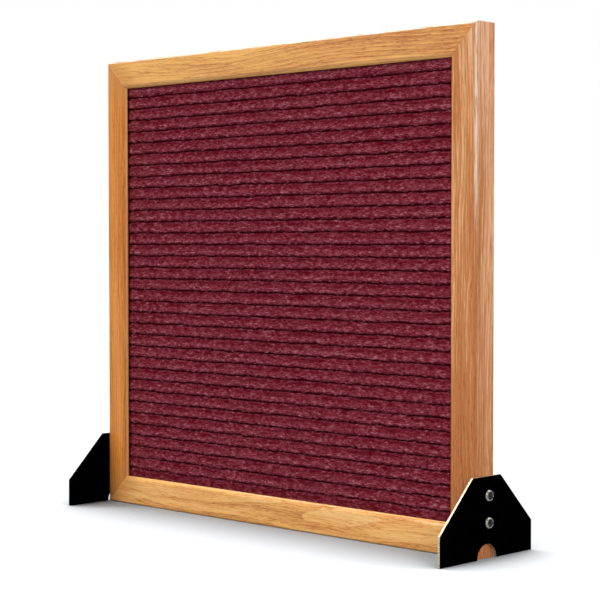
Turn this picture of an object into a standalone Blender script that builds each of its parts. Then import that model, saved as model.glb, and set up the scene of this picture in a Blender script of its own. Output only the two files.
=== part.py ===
"""Tabletop letter board: a grooved felt panel in a mitred oak frame, on two plate feet.

The front of the board faces -Y. It stands on the plane Z = 0, with the origin under its middle.
All lengths are in metres.
"""

import math

import bmesh
import bpy
from mathutils import Matrix, Vector

# Whole board
BOARD_WIDTH = 0.2700
BOARD_HEIGHT = 0.2540
BOARD_DEPTH = 0.0140

# Gaps between pieces that touch on the real board
SEAT_GAP = 0.0003
MITRE_GAP = 0.0003
GLUE_GAP = 0.0002
PRESS_GAP = 0.00015
PANEL_EDGE_GAP = 0.0004
PIVOT_GAP = 0.0001

# Oak moulding, one section for all four sides
FACE_WIDTH = 0.0159
LIP_THICKNESS = 0.0019
REBATE_WIDTH = 0.0044
OUTER_ROUND_RADIUS = 0.0015
INNER_ROUND_WIDTH = 0.0040
INNER_ROUND_DEPTH = 0.0016
BACK_ARRIS = 0.0005
OUTER_ROUND_STEPS = 6
INNER_ROUND_STEPS = 9

# Grooved core board and the felt drawn over it
GROOVE_PITCH = 0.00642
GROOVE_MOUTH = 0.0009
SLOT_DEPTH = 0.0030
FIRST_GROOVE_DROP = 0.0057
LAST_LAND = 0.0030
FELT_THICKNESS = 0.0008
FELT_CROWN = 0.0003
SHOULDER_STEPS = 3
CROWN_SHARES = (0.25, 0.5, 0.75)

# Hardboard back
BACKING_THICKNESS = 0.0032
BACKING_ARRIS = 0.0003

# Feet, cut from sheet
FOOT_LENGTH = 0.0704
FOOT_HEIGHT = 0.0394
FOOT_SIDE_HEIGHT = 0.0147
FOOT_TOP_LENGTH = 0.0212
FOOT_THICKNESS = 0.0012
ARCH_RADIUS = 0.0072
ARCH_STEPS = 16

# Pan-head screws that hold each foot
FOOT_SCREW_HEIGHTS = {"upper": 0.0303, "lower": 0.0173}
FOOT_SCREW_HEAD_RADIUS = 0.0028
FOOT_SCREW_HEAD_HEIGHT = 0.0022
FOOT_SCREW_SHANK_RADIUS = 0.0014
FOOT_SCREW_LENGTH = 0.0095
FOOT_HOLE_GAP = 0.0002

# Turn buttons on the back, and their screws
BUTTON_PIVOT_RADIUS = 0.0040
BUTTON_TIP_RADIUS = 0.0023
BUTTON_REACH = 0.0090
BUTTON_THICKNESS = 0.0008
BUTTON_SPREAD = 0.0700
BUTTON_SCREW_HEAD_RADIUS = 0.0023
BUTTON_SCREW_HEAD_HEIGHT = 0.0014
BUTTON_SCREW_SHANK_RADIUS = 0.0011
BUTTON_SCREW_LENGTH = 0.0080
BUTTON_ARC_STEPS = 12

# V-shaped nails pressed across the mitres from the back
NAIL_INSET = 0.0036
NAIL_LEG = 0.0046
NAIL_STRIP = 0.0005
NAIL_DEPTH = 0.0090

# Screw forms, as shares of each screw's own sizes
HEAD_RIM_SHARE = 0.42
POINT_SHARE = 0.25
RECESS_SPAN_SHARE = 0.62
RECESS_BLADE_SHARE = 0.20
RECESS_DEPTH_SHARE = 0.55
HEAD_STEPS = 4
SCREW_STEPS = 20
HOLE_STEPS = 20

# Modelling aids
OVERRUN = 0.0020
WELD_DISTANCE = 0.000002
SMOOTH_ANGLE = math.radians(35)

# Places that several pieces share
FRONT = -BOARD_DEPTH / 2
BACK = BOARD_DEPTH / 2
STRIP_WIDTH = FACE_WIDTH - REBATE_WIDTH
PANEL_BOTTOM = STRIP_WIDTH + PANEL_EDGE_GAP
PANEL_TOP = BOARD_HEIGHT - PANEL_BOTTOM
PANEL_WIDTH = BOARD_WIDTH - 2 * PANEL_BOTTOM
FELT_FRONT = FRONT + LIP_THICKNESS + SEAT_GAP
FELT_BACK = FELT_FRONT + FELT_THICKNESS
CORE_FRONT = FELT_BACK + GLUE_GAP
BACKING_FRONT = BACK - BACKING_THICKNESS
CORE_BACK = BACKING_FRONT - SEAT_GAP
SLOT_BOTTOM = CORE_FRONT + SLOT_DEPTH
FOOT_INNER = BOARD_WIDTH / 2 + SEAT_GAP
FOOT_OUTER = FOOT_INNER + FOOT_THICKNESS
BUTTON_FRONT = BACK + SEAT_GAP
BUTTON_BACK = BUTTON_FRONT + BUTTON_THICKNESS

# An outline is drawn in X and Y and thickened in Z, then turned to lie as its piece does
TURNED_TO_SIDE = Matrix(((0, 0, 1, 0), (1, 0, 0, 0), (0, 1, 0, 0), (0, 0, 0, 1)))
TURNED_TO_FRONT = Matrix.Rotation(math.radians(90), 4, "X")


def clear_scene():
    for item in list(bpy.data.objects):
        bpy.data.objects.remove(item, do_unlink=True)


def new_collection(name):
    collection = bpy.data.collections.new(name)
    bpy.context.scene.collection.children.link(collection)
    return collection


def linear(hex_colour):
    """Turns an sRGB hex colour into the linear one that a shader takes."""
    shares = [int(hex_colour[i : i + 2], 16) / 255 for i in (1, 3, 5)]
    return [s / 12.92 if s <= 0.04045 else ((s + 0.055) / 1.055) ** 2.4 for s in shares] + [1]


def new_material(name, hex_colour, roughness, metallic=0.0):
    material = bpy.data.materials.new(name)
    material.use_nodes = True
    shader = material.node_tree.nodes["Principled BSDF"]
    shader.inputs["Base Color"].default_value = linear(hex_colour)
    shader.inputs["Roughness"].default_value = roughness
    shader.inputs["Metallic"].default_value = metallic
    material.diffuse_color = linear(hex_colour)
    return material


def new_object(name, mesh, collection, location=(0, 0, 0), turn=0.0):
    """Adds a mesh at a place, turned about the Y axis."""
    item = bpy.data.objects.new(name, mesh)
    collection.objects.link(item)
    item.location = location
    item.rotation_euler = (0, turn, 0)
    return item


def new_part(name, mesh, material, location=(0, 0, 0), turn=0.0):
    """Adds a piece of the board. Repeated pieces share one mesh and its material."""
    part = new_object(name, mesh, parts, location, turn)
    if not mesh.materials:
        mesh.materials.append(material)
    part.parent = board
    return part


def new_cutter(name, mesh, location=(0, 0, 0), turn=0.0):
    cutter = new_object(name, mesh, cutters, location, turn)
    cutter.hide_render = True
    cutter.display_type = "WIRE"
    return cutter


def cut(part, cutter):
    modifier = part.modifiers.new(cutter.name, "BOOLEAN")
    modifier.operation = "DIFFERENCE"
    modifier.solver = "EXACT"
    modifier.object = cutter


def evaluated_mesh(item):
    """The mesh of an object with its modifiers applied, welded and facing out."""
    depsgraph = bpy.context.evaluated_depsgraph_get()
    mesh = bpy.data.meshes.new_from_object(item.evaluated_get(depsgraph))
    shape = bmesh.new()
    shape.from_mesh(mesh)
    bmesh.ops.remove_doubles(shape, verts=shape.verts, dist=WELD_DISTANCE)
    bmesh.ops.recalc_face_normals(shape, faces=shape.faces)
    if shape.calc_volume(signed=True) < 0:
        bmesh.ops.reverse_faces(shape, faces=shape.faces)
    shape.to_mesh(mesh)
    shape.free()
    return mesh


def shade(mesh):
    """Rounds shade smooth and arrises stay sharp."""
    mesh.shade_smooth()
    mesh.set_sharp_from_angle(angle=SMOOTH_ANGLE)
    return mesh


def outline_mesh(name, outlines, thickness, lie):
    """A flat outline thickened evenly; outlines after the first are holes in it."""
    curve = bpy.data.curves.new(name, "CURVE")
    curve.dimensions = "2D"
    curve.fill_mode = "BOTH"
    curve.extrude = thickness / 2
    for outline in outlines:
        spline = curve.splines.new("POLY")
        spline.points.add(len(outline) - 1)
        for point, (across, up) in zip(spline.points, outline):
            point.co = (across, up, 0, 1)
        spline.use_cyclic_u = True
    drawn = bpy.data.objects.new(name, curve)
    cutters.objects.link(drawn)
    mesh = evaluated_mesh(drawn)
    mesh.name = name
    mesh.materials.clear()
    mesh.transform(lie)
    bpy.data.objects.remove(drawn)
    return shade(mesh)


def arc(centre, radii, start, end, steps):
    """Points on an elliptical arc, its angles in degrees from the first axis."""
    angles = [math.radians(start + (end - start) * i / steps) for i in range(steps + 1)]
    return [(centre[0] + radii[0] * math.cos(a), centre[1] + radii[1] * math.sin(a)) for a in angles]


def circle(centre, radius, steps):
    return arc(centre, (radius, radius), 0, 360, steps)[:-1]


def rod_mesh(name, radius, length, lie):
    """A plain round rod from the origin down the Z axis, then turned."""
    shape = bmesh.new()
    sizes = {"radius1": radius, "radius2": radius, "depth": length}
    bmesh.ops.create_cone(shape, cap_ends=True, segments=HOLE_STEPS, **sizes)
    bmesh.ops.translate(shape, verts=shape.verts, vec=(0, 0, -length / 2))
    mesh = bpy.data.meshes.new(name)
    shape.to_mesh(mesh)
    shape.free()
    mesh.transform(lie)
    return mesh


def moulding_outline():
    """The section of the oak moulding: depth from front to back, and distance in from its outer face.

    The outer arris is eased. Towards the opening the flat face falls away in a wide, shallow
    round to a thin lip, and behind the lip lies the rebate that holds the panel.
    """
    outer_middle = (FRONT + OUTER_ROUND_RADIUS, OUTER_ROUND_RADIUS)
    outline = arc(outer_middle, (OUTER_ROUND_RADIUS, OUTER_ROUND_RADIUS), 270, 180, OUTER_ROUND_STEPS)
    inner_middle = (FRONT + INNER_ROUND_DEPTH, FACE_WIDTH - INNER_ROUND_WIDTH)
    outline += arc(inner_middle, (INNER_ROUND_DEPTH, INNER_ROUND_WIDTH), 180, 90, INNER_ROUND_STEPS)
    outline += [(FRONT + LIP_THICKNESS, FACE_WIDTH), (FRONT + LIP_THICKNESS, STRIP_WIDTH)]
    outline += [(BACK, STRIP_WIDTH), (BACK, BACK_ARRIS), (BACK - BACK_ARRIS, 0)]
    return outline


def mitred_length(name, length):
    """One side of the frame, lying along X with its outer face down, and both ends cut at 45 degrees."""
    mesh = outline_mesh(name, [moulding_outline()], length, TURNED_TO_SIDE)
    long_end = length / 2 - MITRE_GAP * math.sqrt(0.5)
    for vertex in mesh.vertices:
        vertex.co.x = math.copysign(long_end - vertex.co.z, vertex.co.x)
    return shade(mesh)


def make_frame(oak):
    """Four mitred lengths round the panel, outer faces outwards."""
    places = {
        "bottom_rail": (BOARD_WIDTH, (0, 0, 0), 0),
        "top_rail": (BOARD_WIDTH, (0, 0, BOARD_HEIGHT), 180),
        "left_stile": (BOARD_HEIGHT, (-BOARD_WIDTH / 2, 0, BOARD_HEIGHT / 2), 90),
        "right_stile": (BOARD_HEIGHT, (BOARD_WIDTH / 2, 0, BOARD_HEIGHT / 2), -90),
    }
    sides = {}
    for name, (length, place, degrees) in places.items():
        sides[name] = new_part(name, mitred_length(name, length), oak, place, math.radians(degrees))
    return sides


def nail_outline(gap):
    """A right-angled strip with its bend at the origin, grown by a gap all round."""
    half = NAIL_STRIP / 2 + gap
    end = NAIL_LEG + gap
    return [(-half, -half), (end, -half), (end, half), (half, half), (half, end), (-half, end)]


def make_corner_nails(sides, steel):
    """A V-shaped nail across each mitre, with a leg in each side of the frame."""
    far_x = BOARD_WIDTH / 2 - NAIL_INSET
    far_z = BOARD_HEIGHT - NAIL_INSET
    corners = {
        "bottom_left": ((-far_x, NAIL_INSET), 0, ("bottom_rail", "left_stile")),
        "bottom_right": ((far_x, NAIL_INSET), -90, ("bottom_rail", "right_stile")),
        "top_right": ((far_x, far_z), 180, ("top_rail", "right_stile")),
        "top_left": ((-far_x, far_z), 90, ("top_rail", "left_stile")),
    }
    nail = outline_mesh("corner_nail", [nail_outline(0)], NAIL_DEPTH, TURNED_TO_FRONT)
    slot_depth = NAIL_DEPTH + 2 * PRESS_GAP + OVERRUN
    slot = outline_mesh("nail_slot", [nail_outline(PRESS_GAP)], slot_depth, TURNED_TO_FRONT)
    nail_middle = BACK - PRESS_GAP - NAIL_DEPTH / 2
    slot_middle = BACK + OVERRUN - slot_depth / 2
    for corner, ((x, z), degrees, joined) in corners.items():
        turn = math.radians(degrees)
        new_part("corner_nail_" + corner, nail, steel, (x, nail_middle, z), turn)
        cutter = new_cutter("nail_slot_" + corner, slot, (x, slot_middle, z), turn)
        for side in joined:
            cut(sides[side], cutter)


def groove_heights():
    """Middles of the grooves from the lowest up, set out from the top of the opening."""
    top = BOARD_HEIGHT - FACE_WIDTH - FIRST_GROOVE_DROP
    room = top - FACE_WIDTH - LAST_LAND
    count = 1 + int(room / GROOVE_PITCH)
    return [top - GROOVE_PITCH * i for i in reversed(range(count))]


def make_groove_board(fibreboard):
    """The core: fibreboard with a square slot for each groove."""
    half = GROOVE_MOUTH / 2 + FELT_THICKNESS + GLUE_GAP
    outline = [(CORE_FRONT, PANEL_BOTTOM)]
    for height in groove_heights():
        low, high = height - half, height + half
        outline += [(CORE_FRONT, low), (SLOT_BOTTOM, low), (SLOT_BOTTOM, high), (CORE_FRONT, high)]
    outline += [(CORE_FRONT, PANEL_TOP), (CORE_BACK, PANEL_TOP), (CORE_BACK, PANEL_BOTTOM)]
    core = outline_mesh("groove_board", [outline], PANEL_WIDTH, TURNED_TO_SIDE)
    new_part("groove_board", core, fibreboard)


def felt_land(low, high):
    """The rounded face of the felt between two grooves, from its lower edge to its upper one."""
    radius = FELT_THICKNESS
    shoulder = FELT_FRONT + FELT_CROWN
    flat_low, flat_high = low + radius, high - radius
    radii = (radius, radius)
    land = arc((shoulder + radius, flat_low), radii, 270, 180, SHOULDER_STEPS)
    for share in CROWN_SHARES:
        rise = FELT_CROWN * math.sin(math.pi * share)
        land.append((shoulder - rise, flat_low + (flat_high - flat_low) * share))
    return land + arc((shoulder + radius, flat_high), radii, 180, 90, SHOULDER_STEPS)


def make_felt_cover(felt):
    """One sheet of felt, tucked into every slot of the core."""
    heights = groove_heights()
    front_bottom = SLOT_BOTTOM - GLUE_GAP - FELT_THICKNESS
    half_mouth = GROOVE_MOUTH / 2
    edges = [PANEL_BOTTOM] + [h + s * half_mouth for h in heights for s in (-1, 1)] + [PANEL_TOP]
    outline = [(FELT_BACK, PANEL_BOTTOM)]
    for low, high in zip(edges[::2], edges[1::2]):
        outline += felt_land(low, high)
        if high < PANEL_TOP:
            outline += [(front_bottom, high), (front_bottom, high + GROOVE_MOUTH)]
    outline.append((FELT_BACK, PANEL_TOP))
    half = half_mouth + FELT_THICKNESS
    tuck = SLOT_BOTTOM - GLUE_GAP
    for height in reversed(heights):
        low, high = height - half, height + half
        outline += [(FELT_BACK, high), (tuck, high), (tuck, low), (FELT_BACK, low)]
    cover = outline_mesh("felt_cover", [outline], PANEL_WIDTH, TURNED_TO_SIDE)
    new_part("felt_cover", cover, felt)


def make_backing_board(hardboard):
    """A plain hardboard sheet, flush with the back of the frame."""
    bpy.ops.mesh.primitive_cube_add(size=1)
    sheet = bpy.context.active_object
    size = (PANEL_WIDTH, BACKING_THICKNESS, PANEL_TOP - PANEL_BOTTOM)
    sheet.data.transform(Matrix.Diagonal(size).to_4x4())
    sheet.data.name = "backing_board"
    middle = (0, BACKING_FRONT + BACKING_THICKNESS / 2, BOARD_HEIGHT / 2)
    part = new_part("backing_board", sheet.data, hardboard, middle)
    bpy.data.objects.remove(sheet)
    bevel = part.modifiers.new("arris", "BEVEL")
    bevel.width = BACKING_ARRIS
    bevel.segments = 1


def screw_mesh(name, head_radius, head_height, shank_radius, length):
    """A pan-head screw with a cross recess, head up, the underside of its head at the origin."""
    rim = head_height * HEAD_RIM_SHARE
    dome = arc((0, rim), (head_radius, head_height - rim), 90, 0, HEAD_STEPS)
    point = length * POINT_SHARE
    profile = dome + [(head_radius, 0), (shank_radius, 0), (shank_radius, point - length), (0, -length)]
    mesh = bpy.data.meshes.new(name + "_profile")
    runs = [(i, i + 1) for i in range(len(profile) - 1)]
    mesh.from_pydata([(x, 0, z) for x, z in profile], runs, [])
    turned = new_object(name + "_turned", mesh, cutters)
    spin = turned.modifiers.new("turn", "SCREW")
    spin.steps = SCREW_STEPS
    spin.render_steps = SCREW_STEPS
    spin.use_merge_vertices = True
    spin.merge_threshold = WELD_DISTANCE
    cut(turned, recess_cutter(name + "_recess", head_radius, head_height))
    solid = evaluated_mesh(turned)
    solid.name = name
    bpy.data.objects.remove(turned)
    return shade(solid)


def recess_cutter(name, head_radius, head_height):
    """A cross that sinks into the crown of a screw head."""
    span = head_radius * RECESS_SPAN_SHARE
    blade = head_radius * RECESS_BLADE_SHARE
    quarter = [(span, -blade), (span, blade), (blade, blade)]
    outline = []
    for turn in range(4):
        spun = Matrix.Rotation(math.radians(90 * turn), 2)
        outline += [tuple(spun @ Vector(corner)) for corner in quarter]
    depth = head_height * RECESS_DEPTH_SHARE
    mesh = outline_mesh(name, [outline], depth + OVERRUN, Matrix.Identity(4))
    return new_cutter(name, mesh, (0, 0, head_height - depth + (depth + OVERRUN) / 2))


def pilot_hole(part, name, radius, length, place, lie):
    """Drills a hole from a place on the surface of a part."""
    rod = rod_mesh(name, radius, length + OVERRUN, Matrix.Translation((0, 0, OVERRUN)))
    rod.transform(lie)
    cut(part, new_cutter(name, rod, place))


def foot_outline():
    """The edge of a foot: sloping shoulders above, and an arch cut into its lower edge."""
    half, half_top = FOOT_LENGTH / 2, FOOT_TOP_LENGTH / 2
    outline = [(half, 0), (half, FOOT_SIDE_HEIGHT), (half_top, FOOT_HEIGHT)]
    outline += [(-half_top, FOOT_HEIGHT), (-half, FOOT_SIDE_HEIGHT), (-half, 0)]
    return outline + arc((0, 0), (ARCH_RADIUS, ARCH_RADIUS), 180, 0, ARCH_STEPS)


def make_feet(sides, coated_sheet, nickel):
    """A foot on each side of the frame, held by two screws on its centre line."""
    hole = FOOT_SCREW_SHANK_RADIUS + FOOT_HOLE_GAP
    holes = [circle((0, height), hole, HOLE_STEPS) for height in FOOT_SCREW_HEIGHTS.values()]
    foot = outline_mesh("foot", [foot_outline()] + holes, FOOT_THICKNESS, TURNED_TO_SIDE)
    sizes = (FOOT_SCREW_HEAD_RADIUS, FOOT_SCREW_HEAD_HEIGHT, FOOT_SCREW_SHANK_RADIUS, FOOT_SCREW_LENGTH)
    screw = screw_mesh("foot_screw", *sizes)
    bore = FOOT_SCREW_SHANK_RADIUS + PRESS_GAP
    reach = FOOT_SCREW_LENGTH - FOOT_THICKNESS - SEAT_GAP
    for side, way in (("left", -1), ("right", 1)):
        new_part(side + "_foot", foot, coated_sheet, (way * (FOOT_INNER + FOOT_OUTER) / 2, 0, 0))
        turn = math.radians(90 * way)
        outwards = Matrix.Rotation(turn, 4, "Y")
        for level, height in FOOT_SCREW_HEIGHTS.items():
            name = side + "_foot_" + level + "_screw"
            new_part(name, screw, nickel, (way * (FOOT_OUTER + SEAT_GAP), 0, height), turn)
            face = (way * BOARD_WIDTH / 2, 0, height)
            pilot_hole(sides[side + "_stile"], name + "_hole", bore, reach, face, outwards)


def button_outline():
    """A tapered finger with round ends, its pivot at the origin and its tip up."""
    spread = math.degrees(math.acos((BUTTON_PIVOT_RADIUS - BUTTON_TIP_RADIUS) / BUTTON_REACH))
    tip = (BUTTON_TIP_RADIUS, BUTTON_TIP_RADIUS)
    pivot = (BUTTON_PIVOT_RADIUS, BUTTON_PIVOT_RADIUS)
    outline = arc((0, BUTTON_REACH), tip, 90 - spread, 90 + spread, BUTTON_ARC_STEPS)
    return outline + arc((0, 0), pivot, 90 + spread, 450 - spread, BUTTON_ARC_STEPS)


def make_turn_buttons(sides, zinc):
    """Turn buttons round the back, each on its own screw and pointing in over the backing board."""
    middle = STRIP_WIDTH / 2
    side_x = BOARD_WIDTH / 2 - middle
    top_z = BOARD_HEIGHT - middle
    places = {
        "top_left": ((-BUTTON_SPREAD, top_z), 180, "top_rail"),
        "top_right": ((BUTTON_SPREAD, top_z), 180, "top_rail"),
        "bottom_left": ((-BUTTON_SPREAD, middle), 0, "bottom_rail"),
        "bottom_right": ((BUTTON_SPREAD, middle), 0, "bottom_rail"),
        "left": ((-side_x, BOARD_HEIGHT / 2), 90, "left_stile"),
        "right": ((side_x, BOARD_HEIGHT / 2), -90, "right_stile"),
    }
    hole = circle((0, 0), BUTTON_SCREW_SHANK_RADIUS + PIVOT_GAP, HOLE_STEPS)
    button = outline_mesh("turn_button", [button_outline(), hole], BUTTON_THICKNESS, TURNED_TO_FRONT)
    sizes = (
        BUTTON_SCREW_HEAD_RADIUS,
        BUTTON_SCREW_HEAD_HEIGHT,
        BUTTON_SCREW_SHANK_RADIUS,
        BUTTON_SCREW_LENGTH,
    )
    screw = screw_mesh("button_screw", *sizes)
    backwards = Matrix.Rotation(math.radians(-90), 4, "X")
    screw.transform(backwards)
    bore = BUTTON_SCREW_SHANK_RADIUS + PRESS_GAP
    reach = BUTTON_SCREW_LENGTH - BUTTON_THICKNESS - SEAT_GAP
    for place, ((x, z), degrees, side) in places.items():
        level = (BUTTON_FRONT + BUTTON_BACK) / 2
        new_part("turn_button_" + place, button, zinc, (x, level, z), math.radians(degrees))
        name = "turn_button_screw_" + place
        new_part(name, screw, zinc, (x, BUTTON_BACK + SEAT_GAP, z))
        pilot_hole(sides[side], name + "_hole", bore, reach, (x, BACK, z), backwards)


def make_board():
    oak = new_material("golden_oak", "#C98F52", 0.45)
    fibreboard = new_material("fibreboard", "#6B4A32", 0.85)
    felt = new_material("burgundy_felt", "#6E1F33", 0.95)
    hardboard = new_material("hardboard", "#6A4427", 0.7)
    coated_sheet = new_material("black_coated_sheet", "#08080A", 0.15)
    nickel = new_material("bright_nickel", "#D8D6D2", 0.2, 1.0)
    zinc = new_material("zinc_plated_steel", "#B9BDC2", 0.35, 1.0)
    spring_steel = new_material("blued_nail_steel", "#5C6066", 0.4, 1.0)
    sides = make_frame(oak)
    make_corner_nails(sides, spring_steel)
    make_groove_board(fibreboard)
    make_felt_cover(felt)
    make_backing_board(hardboard)
    make_feet(sides, coated_sheet, nickel)
    make_turn_buttons(sides, zinc)


clear_scene()
parts = new_collection("letter_board")
cutters = new_collection("cutters")
board = bpy.data.objects.new("letter_board", None)
parts.objects.link(board)
make_board()
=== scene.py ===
"""The looks of a tabletop letter board: oak frame, grooved burgundy felt and two black plate feet.

The front of the board faces -Y and it stands on Z = 0. Lengths are in metres, or in millimetres
where a comment says so and in the shaders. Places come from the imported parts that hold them.
"""

import math

import bmesh
import bpy
from mathutils import Matrix, Vector, noise


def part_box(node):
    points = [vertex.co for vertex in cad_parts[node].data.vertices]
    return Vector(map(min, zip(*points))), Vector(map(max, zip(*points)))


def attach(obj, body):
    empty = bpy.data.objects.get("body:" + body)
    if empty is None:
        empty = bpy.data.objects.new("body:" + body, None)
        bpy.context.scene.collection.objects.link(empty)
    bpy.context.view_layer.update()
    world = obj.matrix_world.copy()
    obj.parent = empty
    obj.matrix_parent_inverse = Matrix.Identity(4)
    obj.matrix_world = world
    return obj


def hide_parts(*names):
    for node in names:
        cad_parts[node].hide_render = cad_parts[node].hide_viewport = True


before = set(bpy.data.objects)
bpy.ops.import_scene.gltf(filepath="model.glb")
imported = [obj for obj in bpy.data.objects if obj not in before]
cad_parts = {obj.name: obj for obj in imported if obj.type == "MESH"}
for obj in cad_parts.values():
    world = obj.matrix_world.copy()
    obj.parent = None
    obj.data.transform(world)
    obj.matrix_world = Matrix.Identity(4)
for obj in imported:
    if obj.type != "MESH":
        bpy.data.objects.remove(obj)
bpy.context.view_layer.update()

MM = 1000.0

# Camera, fitted to the photograph's frame of 600 by 600 pixels
CAMERA_LENS_MM = 101.93
CAMERA_SENSOR_MM = 36.0
CAMERA_CLIP = (0.05, 20.0)
CAMERA_AZIMUTH = math.radians(44.06)
CAMERA_ELEVATION = math.radians(1.92)
CAMERA_ROLL = math.radians(-0.02)
CAMERA_DISTANCE = 0.8970
CAMERA_AIM_SIDE = 0.0095
CAMERA_AIM_HEIGHT = 0.1198

# Oak moulding, one section for all four sides
OUTER_ROUND_RADIUS = 0.0015
INNER_ROUND_WIDTH = 0.0028
INNER_ROUND_DEPTH = 0.0016
LIP_THICKNESS = 0.0019
REBATE_WIDTH = 0.0044
BACK_ARRIS = 0.0005
OUTER_ROUND_STEPS = 12
INNER_ROUND_STEPS = 20
BACK_ARRIS_STEPS = 4

# Hairline at the mitres: width of the eased edge, and how far the edge stays back from the joint
MITRE_EASE = 0.00012
MITRE_SLICE = 0.00014

# Painted highlight on the outer arris: its reach in radii of the round, and a gain that fills its middle
ARRIS_HIGHLIGHT_REACH = 0.76
ARRIS_HIGHLIGHT_GAIN = 1.4

# V-shaped nails pressed across the mitres from the back
NAIL_INSET = 0.0036
NAIL_LEG = 0.0046
NAIL_STRIP = 0.0005
NAIL_SLOT_GAP = 0.00012
NAIL_SLOT_DEPTH = 0.0012

# Felt in its grooves
GROOVE_PITCH = 0.00642
GROOVE_MOUTH = 0.0009
GROOVE_DEPTH = 0.0024
FIRST_GROOVE_DROP = 0.0057
LAST_LAND = 0.0030
GLUE_GAP = 0.0002
FELT_THICKNESS = 0.0008
FELT_PROUD = 0.0003
FELT_COLUMNS = 254

# Edge of the felt: the strip that the lip hides, the band that turns back, how far it turns back
# at the stiles, and the share of that at the rails
FELT_HIDDEN_EDGE = 0.0020
FELT_EDGE_ROLL = 0.0022
FELT_TURNED_BACK = 0.0012
FELT_END_SHARE = 0.6

# One row of felt from below. The crest lies low in the row, and tufts of nap stand over the grooves.
# Each line is a share of the row's height, the set-back behind the crest and the reach of the tufts
# in millimetres, and how much painted light or shade lies there, on the scale of its colours.
FELT_ROW = (
    (0.02, 2.00, 0.0, -0.80),
    (0.00, 1.20, 0.6, -0.06),
    (0.02, 0.45, 0.9, -0.05),
    (0.10, 0.08, 0.7, 0.00),
    (0.23, 0.00, 0.3, 0.04),
    (0.41, 0.10, 0.1, 0.03),
    (0.61, 0.28, 0.0, -0.04),
    (0.80, 0.50, 0.2, -0.11),
    (0.96, 0.80, 0.5, -0.03),
    (1.07, 1.35, 0.6, -0.06),
)
# Painted shade at the bottom of each groove, on the same scale
GROOVE_PAINTED_SHADE = -0.80

# Waves of the matted nap, in millimetres: length across, length upwards, a seed, and reach.
# Drift moves the rows up and down, fluff moves their face in and out. The tufts' reach is a row's.
DRIFT_WAVES = ((14, 6, 3.1, 0.45), (2.6, 2.2, 7.7, 0.34))
TUFT_WAVE = (2.0, 0.9, 15.9)
FLUFF_WAVES = ((1.9, 1.2, 11.3, 0.42), (9, 5, 5.2, 0.20))

# Feet, cut from sheet
FOOT_SIDE_HEIGHT = 0.0147
FOOT_TOP_LENGTH = 0.0212
FOOT_HOLE_RADIUS = 0.0016
FOOT_EDGE_EASE = 0.00008
ARCH_RADIUS = 0.0072
ARCH_STEPS = 40

# Steps round any drilled hole
HOLE_STEPS = 40

# Pan-head screws: radius and height of the head, radius of the shank, length of the shank
FOOT_SCREW = (0.0028, 0.0022, 0.0014, 0.0095)
BUTTON_SCREW = (0.0023, 0.0014, 0.0011, 0.0080)

# How far the underside of a head stands off its seat
HEAD_GAP = 0.0003

# Form of a screw. Shares of the head's height: top of the rim, and depth of the recess
HEAD_RIM = 0.42
RECESS_DEPTH = 0.62
# Shares of the head's radius: its underside, and the reach and half width of an arm of the cross
HEAD_UNDERSIDE = 0.985
RECESS_REACH = 0.80
RECESS_BLADE = 0.38
# Corner between two arms in half widths, floor of the recess as a share of its mouth, and tip as a
# share of the shank
RECESS_THROAT = 1.3
RECESS_FLOOR = 0.55
SHANK_TIP = 0.25
# Angle, in degrees, at which the dome gives way to the flat on top
DOME_FLAT = 46
DOME_STEPS = 8
SCREW_STEPS = 48

# How far round each foot screw stands, and the step from one button's screw to the next, in degrees
FOOT_SCREW_TURNS = {"upper": 12, "lower": 40}
BUTTON_SCREW_STEP = 17

# Turn buttons on the back, and the degrees that each stands turned from upright
BUTTON_PIVOT_RADIUS = 0.0040
BUTTON_TIP_RADIUS = 0.0023
BUTTON_REACH = 0.0090
BUTTON_THICKNESS = 0.0008
BUTTON_HOLE_RADIUS = 0.0012
BUTTON_EDGE_EASE = 0.00018
BUTTON_TIP_STEPS = 20
BUTTON_PIVOT_STEPS = 32
BUTTON_TURNS = {
    "top_left": 180,
    "top_right": 180,
    "bottom_left": 0,
    "bottom_right": 0,
    "left": 90,
    "right": -90,
}

# Limits that pick out faces, points and edges: cosines of a face's tilt, lengths and an angle
MITRE_FACING = 0.5
SHEET_FACING = 0.7
TOUCHING = 0.000002
LEVEL_WITH = 0.000001
SMOOTH_ANGLE = math.radians(32)

# Takes X to Y, Y to Z and Z to X
TURNED_TO_SIDE = Matrix(((0, 0, 1, 0), (1, 0, 0, 0), (0, 1, 0, 0), (0, 0, 0, 1)))

# Places that several pieces share
BOARD_LOW = Vector((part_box("left_stile")[0].x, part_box("bottom_rail")[0].y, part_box("bottom_rail")[0].z))
BOARD_HIGH = Vector((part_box("right_stile")[1].x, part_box("top_rail")[1].y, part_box("top_rail")[1].z))
BOARD_WIDTH = BOARD_HIGH.x - BOARD_LOW.x
BOARD_HEIGHT = BOARD_HIGH.z - BOARD_LOW.z
FRONT = BOARD_LOW.y
BACK = BOARD_HIGH.y
FACE_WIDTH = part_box("left_stile")[1].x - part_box("left_stile")[0].x
STRIP_WIDTH = FACE_WIDTH - REBATE_WIDTH
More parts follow.
